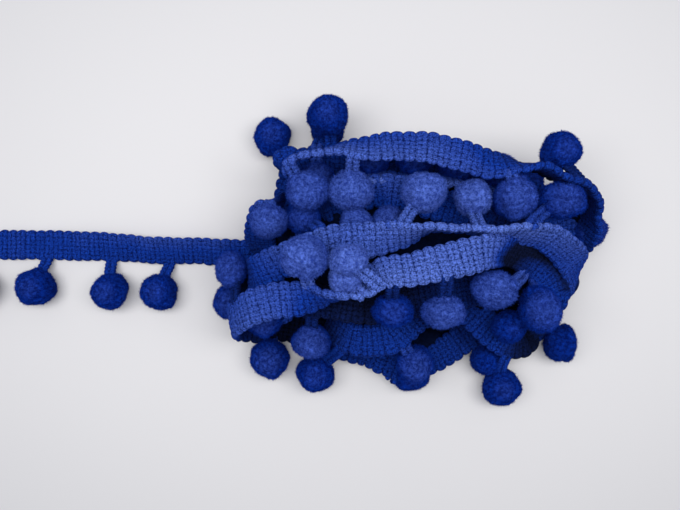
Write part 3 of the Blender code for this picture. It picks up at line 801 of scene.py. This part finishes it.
def heading_strip(name, seed):
    """The knitted band along one course, and its length."""
    distance, middle, along, across, paleness = course_line(name, HEADING_STEP)
    normal = np.cross(along, across)
    share, face = section_of_heading()
    sideways, out = knit_section(distance, share, face, seed)
    length = distance / MM
    sway = ripple(length, seed, *SLOW_SWAY) + ripple(length, seed, *QUICK_SWAY)
    curl = ripple(length, seed, *CURL)[:, None] * share[None, :] ** 2
    out = out + sway[:, None] + curl
    points = (
        middle[:, None, :]
        + across[:, None, :] * sideways[:, :, None] * MM
        + normal[:, None, :] * out[:, :, None] * MM
    )
    points[:, :, 2] = np.maximum(points[:, :, 2], STRIP_FLOOR_GAP)
    on_face = np.broadcast_arrays(length[:, None], share[None, :] * PATTERN_HALF_WIDTH)
    above_middle = (points[:, :, 2] - middle[:, None, 2]) / MM - FACE_RISE
    # Painted shade: each band is painted darker below its middle and paler above it, and darker still close
    # under a fold.
    shaded = paleness[:, None] + PAINTED_SHADE_BY_HEIGHT * above_middle - shade_under_fold(name, points)
    strip = tube(points, np.stack(on_face, axis=2), shaded)
    return finish_piece(strip, "knit_" + name, knit), distance[-1]


for seed, name in enumerate(COURSES):
    strip, length = heading_strip(name, seed)
    if name == "loose_end":
        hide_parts("loose_heading")
    else:
        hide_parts("wound_heading")
    print(strip.name, round(length, 3), "m,", len(strip.data.polygons), "faces")

# %% [markdown]
# ## The pompoms
#
# A row of the table gives where a pompom is seen, its height, its size in three directions, the
# course that it hangs from, where its stem leaves that course, and the painted light and shade of its
# pile, from -1, painted shade, to 1, painted light. Wound trim presses its pompoms together, so none
# is quite round.

# %% Table of pompoms
Pompom = namedtuple("Pompom", "seen_x seen_y height long deep tall course root_x root_y paleness")

POMPOMS = {
    "loose_1": (-22, 289, 6.0, 13.0, 13.0, 12.6, "loose_end", -16, 260, 0.0),
    "loose_2": (37, 287, 6.0, 13.2, 13.6, 12.6, "loose_end", 47, 260, 0.0),
    "loose_3": (111, 291, 6.0, 13.2, 13.4, 12.6, "loose_end", 113, 261, 0.0),
    "loose_4": (159, 291, 6.0, 12.8, 13.2, 12.6, "loose_end", 170, 262, 0.0),
    "back_1": (273, 137, 6.2, 12.8, 13.6, 13.0, "back_low", 284, 160, 0.0),
    "back_2": (328, 115, 19.5, 13.6, 12.4, 12.8, "back_low", 330, 144, 0.0),
    "back_3": (328, 128, 6.2, 12.0, 13.0, 13.0, "back_low", 318, 145, -0.2),
    "back_4": (560, 151, 29.0, 12.2, 12.2, 12.4, "back_top", 582, 182, 0.0),
    "back_5": (587, 230, 6.2, 12.4, 12.8, 12.6, "back_low", 576, 226, 0.1),
    "top_1": (307, 191, 33.0, 13.2, 11.8, 12.6, "back_top", 290, 164, 0.38),
    "top_2": (351, 190, 33.0, 13.6, 12.4, 12.4, "back_top", 353, 156, 0.55),
    "top_3": (424, 193, 37.0, 13.8, 11.8, 12.6, "middle_back", 404, 226, 0.7),
    "top_4": (473, 198, 35.0, 10.6, 11.8, 12.4, "middle_back", 481, 229, 0.7),
    "top_5": (515, 197, 37.0, 12.6, 14.2, 12.8, "back_top", 513, 180, 0.3),
    "top_6": (561, 200, 32.0, 14.2, 12.0, 11.6, "middle_back", 531, 231, 0.15),
    "top_7": (388, 225, 30.5, 11.0, 11.4, 11.8, "middle_back", 392, 226, 0.4),
    "top_8": (356, 225, 31.0, 11.0, 11.4, 11.6, "middle_back", 352, 226, 0.4),
    "top_9": (303, 218, 25.0, 11.6, 11.6, 12.0, "middle_back", 321, 230, 0.1),
    "top_10": (317, 180, 20.0, 12.0, 12.0, 12.4, "back_low", 318, 160, 0.2),
    "left_1": (269, 222, 29.0, 12.2, 11.4, 12.6, "left_end", 276, 226, 0.4),
    "left_2": (231, 269, 23.0, 10.4, 12.8, 12.4, "middle_front", 236, 300, 0.2),
    "left_3": (230, 302, 9.0, 11.6, 12.4, 12.4, "middle_front", 236, 312, 0.1),
    "crown_1": (304, 257, 47.0, 12.8, 12.6, 12.4, "middle_front", 307, 287, 0.6),
    "crown_2": (348, 260, 46.0, 11.0, 9.6, 11.2, "middle_front", 382, 287, 0.9),
    "crown_3": (345, 280, 44.0, 9.6, 9.2, 10.0, "middle_front", 362, 291, 0.9),
    "front_1": (264, 320, 24.0, 11.4, 11.2, 12.0, "front_upper", 290, 318, 0.1),
    "front_2": (270, 359, 6.8, 13.8, 13.6, 13.8, "under_front", 272, 338, 0.1),
    "front_3": (311, 342, 23.0, 12.8, 11.2, 12.4, "front_upper", 311, 318, 0.25),
    "front_4": (316, 373, 6.6, 13.8, 13.2, 13.4, "front_middle", 341, 349, 0.0),
    "front_5": (392, 311, 38.0, 11.8, 9.6, 11.2, "middle_front", 394, 286, 0.03),
    "front_6": (444, 312, 38.0, 13.0, 9.8, 11.6, "middle_front", 447, 281, 0.4),
    "front_7": (495, 289, 37.0, 13.4, 11.2, 12.2, "middle_front", 524, 271, 0.4),
    "front_8": (539, 309, 34.0, 12.4, 14.6, 13.2, "middle_front", 534, 279, 0.15),
    "front_9": (509, 327, 23.0, 11.0, 11.0, 11.6, "middle_front", 537, 292, -0.05),
    "front_10": (415, 364, 19.0, 12.2, 12.2, 12.4, "front_middle", 404, 348, 0.15),
    "front_11": (411, 376, 5.6, 12.4, 10.8, 11.4, "front_low", 388, 381, 0.0),
    "front_12": (487, 359, 6.0, 11.8, 11.6, 12.0, "front_low", 478, 346, -0.1),
    "front_13": (500, 387, 6.2, 13.0, 12.8, 12.8, "front_slant", 506, 360, 0.0),
    "front_14": (560, 342, 6.6, 11.4, 13.8, 13.0, "right_low", 551, 330, -0.1),
    "rear_1": (372, 157, 23.0, 12.4, 12.4, 12.4, "back_wall", 376, 170, 0.1),
    "rear_2": (415, 156, 22.0, 12.6, 12.4, 12.4, "back_wall", 412, 170, 0.1),
    "rear_3": (458, 163, 22.0, 12.4, 12.6, 12.6, "back_wall", 452, 176, 0.1),
    "rear_4": (502, 174, 21.0, 12.4, 12.6, 12.4, "back_wall", 508, 188, 0.1),
    "rear_5": (396, 154, 6.2, 12.6, 12.8, 12.6, "back_low", 398, 154, 0.0),
    "rear_6": (438, 158, 6.2, 12.8, 12.6, 12.6, "back_low", 440, 158, 0.0),
    "rear_7": (482, 168, 6.2, 12.6, 12.6, 12.8, "back_low", 482, 166, 0.0),
    "rear_8": (526, 181, 6.2, 12.8, 12.8, 12.6, "back_low", 524, 178, 0.0),
}
POMPOMS = {name: Pompom(*row) for name, row in POMPOMS.items()}
print(len(POMPOMS), "pompoms")

# %% [markdown]
# ### The shape of a ball
#
# The ball starts as an ico sphere, whose faces are all about the same size, which suits a shape with
# no top or bottom. Its radius then changes with the direction: a few broad waves for the uneven
# clipping and many fine ones for the tufts. Some balls show a swirl, a crease or a parting in the
# pile. Each of those is a dent: a furrow that runs round an axis at an angle to it, in radians, with
# its width and depth as shares of the ball's radius. At no angle it is a dimple on the axis. Where
# two pompoms press on each other, both are flattened at the plane between them, and a pompom that
# rests on the table is flat beneath.

# %% Shape of the balls
FUZZ_INSET = 0.35 * MM
BROAD_WAVES = 9
BROAD_FINENESS = 2.6
BROAD_DEPTH = 0.024
TUFT_WAVES = 30
TUFT_FINENESS = 20.0
TUFT_DEPTH = 0.005
PRESS_GAP = 0.1 * MM
REST_LEVEL = 0.15 * MM

Dent = namedtuple("Dent", "right back up angle width depth")

DENTS = {
    "top_1": [Dent(0.0, 0.2, 1.0, 0.0, 0.2, 0.07)],
    "top_3": [Dent(0.15, 0.6, 0.8, 0.0, 0.22, 0.12)],
    "top_5": [Dent(-0.4, -0.2, 0.9, 0.75, 0.12, 0.08), Dent(0.2, 0.2, 1.0, 0.45, 0.1, 0.05)],
    "top_6": [Dent(-0.5, -0.8, 0.8, 0.75, 0.13, 0.2)],
    "crown_1": [Dent(0.0, 0.0, 1.0, 0.0, 0.18, 0.08), Dent(-0.7, -0.6, 0.4, 0.65, 0.12, 0.16)],
    "crown_2": [Dent(0.5, -0.5, 0.6, 0.5, 0.12, 0.06)],
    "front_2": [Dent(0.3, 0.2, 1.0, 0.9, 0.15, 0.04)],
    "front_7": [Dent(0.9, 0.3, 0.4, 0.45, 0.14, 0.12)],
    "front_8": [Dent(-0.5, 0.2, 0.9, 0.8, 0.14, 0.06)],
    "front_14": [Dent(1.0, 0.0, 0.1, 1.5, 0.12, 0.13)],
    "loose_2": [Dent(-0.7, 0.3, 0.6, 0.9, 0.12, 0.05)],
}


def waves(directions, count, fineness, depth, maker):
    """Gentle hills and hollows over a ball, from plane waves that cross it in many directions."""
    ways = maker.normal(size=(count, 3)) * fineness
    starts = maker.uniform(0.0, 2 * math.pi, size=count)
    return depth * np.sum(np.sin(directions @ ways.T + starts), axis=1)


def centre_and_radii(row):
    """The middle of a ball in metres, and its radii to the right, back and up."""
    return place(row.seen_x, row.seen_y, row.height), np.array([row.long, row.deep, row.tall]) * MM / 2


def pressed(points, name):
    """Points of a ball, kept on its own side of each ball that it presses on, and off the table."""
    centre, radii = centre_and_radii(POMPOMS[name])
    for other, row in POMPOMS.items():
        other_centre, other_radii = centre_and_radii(row)
        apart = other_centre - centre
        gap = np.linalg.norm(apart)
        if other == name or gap > radii.mean() + other_radii.mean():
            continue
        way = apart / gap
        reach = (gap ** 2 + radii.mean() ** 2 - other_radii.mean() ** 2) / (2 * gap) - PRESS_GAP
        over = np.maximum((points - centre) @ way - reach, 0.0)
        points = points - over[:, None] * way
    points[:, 2] = np.maximum(points[:, 2], REST_LEVEL)
    return points


def ball_points(directions, name, seed):
    """Points of the ball's surface in these directions."""
    centre, radii = centre_and_radii(POMPOMS[name])
    maker = np.random.default_rng(seed)
    size = 1.0 + waves(directions, BROAD_WAVES, BROAD_FINENESS, BROAD_DEPTH, maker)
    size = size + waves(directions, TUFT_WAVES, TUFT_FINENESS, TUFT_DEPTH, maker)
    for dent in DENTS.get(name, []):
        axis = unit(np.array([dent.right, dent.back, dent.up]))
        turn = np.arccos(np.clip(directions @ axis, -1.0, 1.0))
        size = size - dent.depth * np.exp(-((turn - dent.angle) / dent.width) ** 2)
    return pressed(centre + directions * (radii - FUZZ_INSET) * size[:, None], name)


print("ball of", POMPOMS["top_5"].long, "mm, broad waves of", BROAD_DEPTH * POMPOMS["top_5"].long / 2, "mm")

# %% [markdown]
# ### Fibre tips
#
# The soft outline comes from real fibres: thin slivers that stand on the ball, a little longer than
# the pile is deep and each leaning its own way. A sliver is one triangle. Real fibres are
# thinner than a hair, so these are drawn as wide as they need to be to show. Blender has no
# operator that plants thousands of slivers, so their mesh is written directly.

# %% Fibres that stand on a ball
FIBRES = 4600
FIBRE_LENGTH = 0.7
FIBRE_WIDTH = 0.14
FIBRE_LEAN = 0.65
SHORTEST = 0.5
LONGEST = 1.25
BRIGHTEST = 2.0
ROOT_SHARE = 0.4
FIBRE_SEED = 500


def fibres_on(name, seed):
    """A mesh of slivers that stand on one ball, with their tip values."""
    maker = np.random.default_rng(seed + FIBRE_SEED)
    directions = unit(maker.normal(size=(FIBRES, 3)))
    roots = ball_points(directions, name, seed)
    centre, radii = centre_and_radii(POMPOMS[name])
    upright = unit(directions / radii)
    lean = unit(upright + FIBRE_LEAN * maker.normal(size=(FIBRES, 3)))
    length = FIBRE_LENGTH * MM * maker.uniform(SHORTEST, LONGEST, size=(FIBRES, 1))
    side = unit(np.cross(lean, maker.normal(size=(FIBRES, 3)))) * FIBRE_WIDTH * MM / 2
    tips = roots + lean * length
    tips[:, 2] = np.maximum(tips[:, 2], REST_LEVEL)
    points = np.stack([roots - side, roots + side, tips], axis=1).reshape(-1, 3)
    faces = np.arange(3 * FIBRES).reshape(-1, 3)
    mesh = bpy.data.meshes.new("fibres_" + name)
    mesh.from_pydata(points.tolist(), [], faces.tolist())
    fibres = bpy.data.objects.new("fibres_" + name, mesh)
    bpy.context.collection.objects.link(fibres)
    # Each fibre's brightness differs at random, and its roots take a smaller share of it than its tip:
    # painted shade low in the pile.
    brightness = maker.uniform(0.0, BRIGHTEST, size=(FIBRES, 1))
    set_attribute(fibres, "tip", brightness * np.array([ROOT_SHARE, ROOT_SHARE, 1.0]))
    return fibres


print(FIBRES, "fibres a ball, about", FIBRE_LENGTH, "mm long")

# %% [markdown]
# ### Stems
#
# A stem is two knitted chains side by side, 4 mm wide together. It leaves the heading in the plane
# of the band and bends towards the middle of its pompom. Its section is two round lobes, and
# along each chain the loops swell and narrow. Some stems lie in the shade of a turn above them, so
# they are painted dark with painted shade, as the turns deep in the hank are.

# %% Stems of two chains
STEM_STEP = 0.35 * MM
FEWEST_STEM_STEPS = 6
STEM_RING = 20
STEM_HALF_WIDTH = 2.05
STEM_START = 1.2 * MM
STEM_LEAD = 1.6 * MM
STEM_REACH = 0.45
STEM_SAG = 0.175
LOBE_THICKNESS = 1.0
LOBE_WAIST = 0.35
LOBE_POWER = 0.7
CHAIN_LOOP = 1.5
CHAIN_OFFSET = 1.6
SWELL = 0.16
SHADED_STEMS = ["front_3", "front_5", "front_6", "back_4", "left_2"]
SHADED_PALENESS = -0.6


def root_of(row):
    """The point of a course's pompom edge where a stem starts, with the ways along and across there."""
    _, middle, along, across, _ = course_line(row.course, COARSE_STEP)
    edges = middle + across * (HALF_WIDTH + SCALLOP_DEPTH / 2) * MM
    gaps = np.linalg.norm(seen(edges) - np.array([row.root_x, row.root_y]), axis=1)
    i = int(np.argmin(gaps))
    return edges[i], along[i], across[i]


def stem_line(row):
    """Points along the middle of a stem, with the ways across it and out of its face."""
    centre, _ = centre_and_radii(row)
    root, along, across = root_of(row)
    start = root - across * STEM_START
    lead = root + across * STEM_LEAD
    entry = root + (centre - root) * STEM_REACH
    entry[2] = centre[2] - (root[2] - centre[2]) * STEM_SAG
    steps = max(FEWEST_STEM_STEPS, round(np.linalg.norm(centre - start) / STEM_STEP))
    share = np.linspace(0.0, 1.0, steps + 1)[:, None]
    rest = 1 - share
    middle = start * rest ** 3 + lead * 3 * share * rest ** 2
    middle = middle + entry * 3 * share ** 2 * rest + centre * share ** 3
    way = unit(np.gradient(middle, axis=0))
    level = np.cross(way, np.array([0.0, 0.0, 1.0]))
    level = level * np.sign(np.sum(level * along) + 1e-9)
    side = along * rest + level * share
    side = unit(side - way * np.sum(way * side, axis=1, keepdims=True))
    return middle, side, np.cross(way, side)


def stem_mesh(name, seed):
    """The stem of one pompom, from inside the heading's edge to inside the ball."""
    row = POMPOMS[name]
    middle, side, normal = stem_line(row)
    gaps = np.linalg.norm(np.diff(middle, axis=0), axis=1)
    length = np.concatenate([[0.0], np.cumsum(gaps)])[:, None] / MM
    turn = np.linspace(0.0, 2 * math.pi, STEM_RING, endpoint=False)
    wide = np.cos(turn)
    waist = LOBE_WAIST + (1.0 - LOBE_WAIST) * np.abs(np.sin(math.pi * wide)) ** LOBE_POWER
    lobes = np.sign(np.sin(turn)) * np.abs(np.sin(turn)) ** 0.5 * waist
    loops = 2 * math.pi * length / CHAIN_LOOP + np.where(wide > 0, 0.0, CHAIN_OFFSET)
    swell = 1.0 + SWELL * np.sin(loops + seed)
    sideways = wide * swell ** 0.5 * STEM_HALF_WIDTH * MM
    outward = lobes * swell * LOBE_THICKNESS * MM
    points = middle[:, None] + side[:, None] * sideways[:, :, None] + normal[:, None] * outward[:, :, None]
    points[:, :, 2] = np.maximum(points[:, :, 2], REST_LEVEL)
    on_chains = np.broadcast_arrays(wide * COLUMN, length)
    # Shaded stems take a fixed painted shade; the rest take the painted light and shade of their pompom.
    paleness = SHADED_PALENESS if name in SHADED_STEMS else row.paleness
    return tube(points, np.stack(on_chains, axis=2), np.full(points.shape[:2], paleness))


print("stems of", 2 * STEM_HALF_WIDTH, "mm with a loop each", CHAIN_LOOP, "mm")

# %% Build every pompom with its stem
BALL_FINENESS = 5
BALL_TIP = 0.2
PAINTED_TOP_LIGHT = 0.35
TOP_SHARE = 0.7
faces_made = 0
for seed, name in enumerate(POMPOMS):
    stem = finish_piece(stem_mesh(name, seed), "stem_" + name, knit)
    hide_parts("pompom_" + name)
    deselect_all()
    bpy.ops.mesh.primitive_ico_sphere_add(subdivisions=BALL_FINENESS, radius=1.0)
    ball = bpy.context.object
    directions = unit(vertices_of(ball))
    place_vertices(ball, ball_points(directions, name, seed))
    bpy.ops.object.shade_smooth()
    # The ball beneath the fibres takes a low tip value: painted shade between the tips.
    set_attribute(ball, "tip", np.full(len(directions), BALL_TIP))
    fibres = fibres_on(name, seed)
    fibres.select_set(True)
    ball.select_set(True)
    bpy.context.view_layer.objects.active = ball
    bpy.ops.object.join()
    # Painted light: the top of each ball is painted paler than its sides and underside.
    facing_up = unit(vertices_of(ball) - centre_and_radii(POMPOMS[name])[0])[:, 2]
    set_attribute(ball, "paleness", POMPOMS[name].paleness + PAINTED_TOP_LIGHT * (facing_up - TOP_SHARE))
    ball = finish_piece(ball, "fluff_" + name, pile)
    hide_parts("pompom_" + name)
    faces_made += len(ball.data.polygons) + len(stem.data.polygons)
print(len(POMPOMS), "pompoms,", faces_made, "faces")

# %% [markdown]
# ## The imported turns inside
#
# Between the turns that show, the hank is full of more turns and crushed pompoms. They are seen
# only as dark lumps deep in the gaps, so they are one mound: a sphere that is squared off, flattened
# beneath, and pushed out in lumps the size of a pompom. Three crushed pompoms that show at its edges
# are joined to it. All of it is painted nearly black, as painted shade deep in the hank.

# %% Mound of packed turns
MOUND_HALF_LENGTH = 47.0 * MM
MOUND_BACK = 22.0 * MM
MOUND_FRONT = 29.0 * MM
MOUND_MIDDLE_X = -1.0 * MM
MOUND_MIDDLE_Y = 3.0 * MM
MOUND_HEIGHT = 26.0 * MM
MOUND_ROUNDNESS = 2.6
MOUND_REST = 0.3 * MM
LUMP_SIZE = 9.0 * MM
LUMP_DEPTH = 2.2 * MM
LUMP_SHIFT = 1.1
TALL_LUMP_SHARE = 0.5
TALL_LUMP_TURN = 300.0

Lump = namedtuple("Lump", "seen_x seen_y height long deep tall")

CRUSHED_POMPOMS = [
    Lump(250, 283, 6.0, 13.0, 14.0, 11.0),
    Lump(573, 211, 6.0, 12.0, 12.0, 11.0),
    Lump(424, 341, 3.5, 16.0, 9.0, 7.0),
]
crushed = []
for number, lump in enumerate(CRUSHED_POMPOMS):
    deselect_all()
    bpy.ops.mesh.primitive_ico_sphere_add(subdivisions=BALL_FINENESS, radius=1.0)
    directions = vertices_of(bpy.context.object)
    maker = np.random.default_rng(number)
    size = 1.0 + waves(directions, BROAD_WAVES, BROAD_FINENESS, BROAD_DEPTH, maker)
    radii = np.array([lump.long, lump.deep, lump.tall]) * MM / 2
    points = place(lump.seen_x, lump.seen_y, lump.height) + directions * radii * size[:, None]
    points[:, 2] = np.maximum(points[:, 2], REST_LEVEL)
    place_vertices(bpy.context.object, points)
    crushed.append(bpy.context.object)

deselect_all()
bpy.ops.mesh.primitive_ico_sphere_add(subdivisions=BALL_FINENESS, radius=1.0)
mound = bpy.context.object
directions = vertices_of(mound)
squared = np.sign(directions) * np.abs(directions) ** (2.0 / MOUND_ROUNDNESS)
reach = np.where(directions[:, 1] > 0, MOUND_BACK, MOUND_FRONT)
points = np.stack([
    MOUND_MIDDLE_X + squared[:, 0] * MOUND_HALF_LENGTH,
    MOUND_MIDDLE_Y + squared[:, 1] * reach,
    np.maximum(squared[:, 2], 0.0) * MOUND_HEIGHT,
], axis=1)
phase = points * 2 * math.pi / LUMP_SIZE
lumps = np.sin(phase[:, 0]) * np.sin(phase[:, 1] + LUMP_SHIFT)
lumps = lumps + TALL_LUMP_SHARE * np.sin(phase[:, 2] + points[:, 0] * TALL_LUMP_TURN)
points = points + directions * lumps[:, None] * LUMP_DEPTH
points[:, 2] = np.maximum(points[:, 2], MOUND_REST)
place_vertices(mound, points)
for ball in crushed:
    ball.select_set(True)
bpy.ops.object.join()
bpy.ops.object.shade_smooth()
# The mound's near-black yarn is painted shade.
mound = finish_piece(mound, "packed_turns", painted_shade)
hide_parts("wound_heading")
print("mound", [round(v / MM, 1) for v in points.max(axis=0) - points.min(axis=0)], "mm")

# %% [markdown]
# ## Table, light and camera
#
# The hank lies on a plain pale table. One long soft light hangs low over its middle, a little to the
# left, so shadows are short and gentle, and a bright pale surround fills them.

# %% Table top
TABLE_SIZE = 4.0
surface, tree, output = new_material("pale_table")
shader = add_node(tree, "ShaderNodeBsdfPrincipled",
                  {"Base Color": linear_colour("#dadce3"), "Roughness": 0.8, "Specular IOR Level": 0.2})
tree.links.new(shader.outputs[0], output.inputs[0])
deselect_all()
bpy.ops.mesh.primitive_plane_add(size=TABLE_SIZE, location=(0.0, 0.0, 0.0))
floor = bpy.context.object
floor.name = "floor"
floor.data.materials.append(surface)
print("table", TABLE_SIZE, "m wide")

# %% Lights
SURROUND_STRENGTH = 0.42
world = bpy.data.worlds.new("pale_surround")
bpy.context.scene.world = world
world.use_nodes = True
world.node_tree.nodes["Background"].inputs["Color"].default_value = linear_colour("#fafbff")
world.node_tree.nodes["Background"].inputs["Strength"].default_value = SURROUND_STRENGTH

LIGHT_PLACE = (-0.02, 0.022, 0.27)
LIGHT_LENGTH = 0.44
LIGHT_DEPTH = 0.12
LIGHT_POWER = 0.85
deselect_all()
bpy.ops.object.light_add(type="AREA", location=LIGHT_PLACE)
window = bpy.context.object
window.name = "window"
window.data.shape = "RECTANGLE"
window.data.size = LIGHT_LENGTH
window.data.size_y = LIGHT_DEPTH
window.data.energy = LIGHT_POWER
window.data.color = linear_colour("#fffaf2")[:3]
bpy.context.scene.view_settings.view_transform = "Standard"
print("light", LIGHT_POWER, "W at", LIGHT_PLACE)

# %% Camera
SENSOR = 36.0
CLIP_START = 0.005
deselect_all()
bpy.ops.object.camera_add(location=(CAMERA_X, CAMERA_Y, VIEW_HEIGHT), rotation=(0.0, 0.0, 0.0))
camera = bpy.context.object
camera.data.sensor_width = SENSOR
camera.data.lens = VIEW_FOCAL / VIEW_WIDTH * SENSOR
camera.data.clip_start = CLIP_START
bpy.context.scene.camera = camera
print("lens", round(camera.data.lens, 2), "mm")
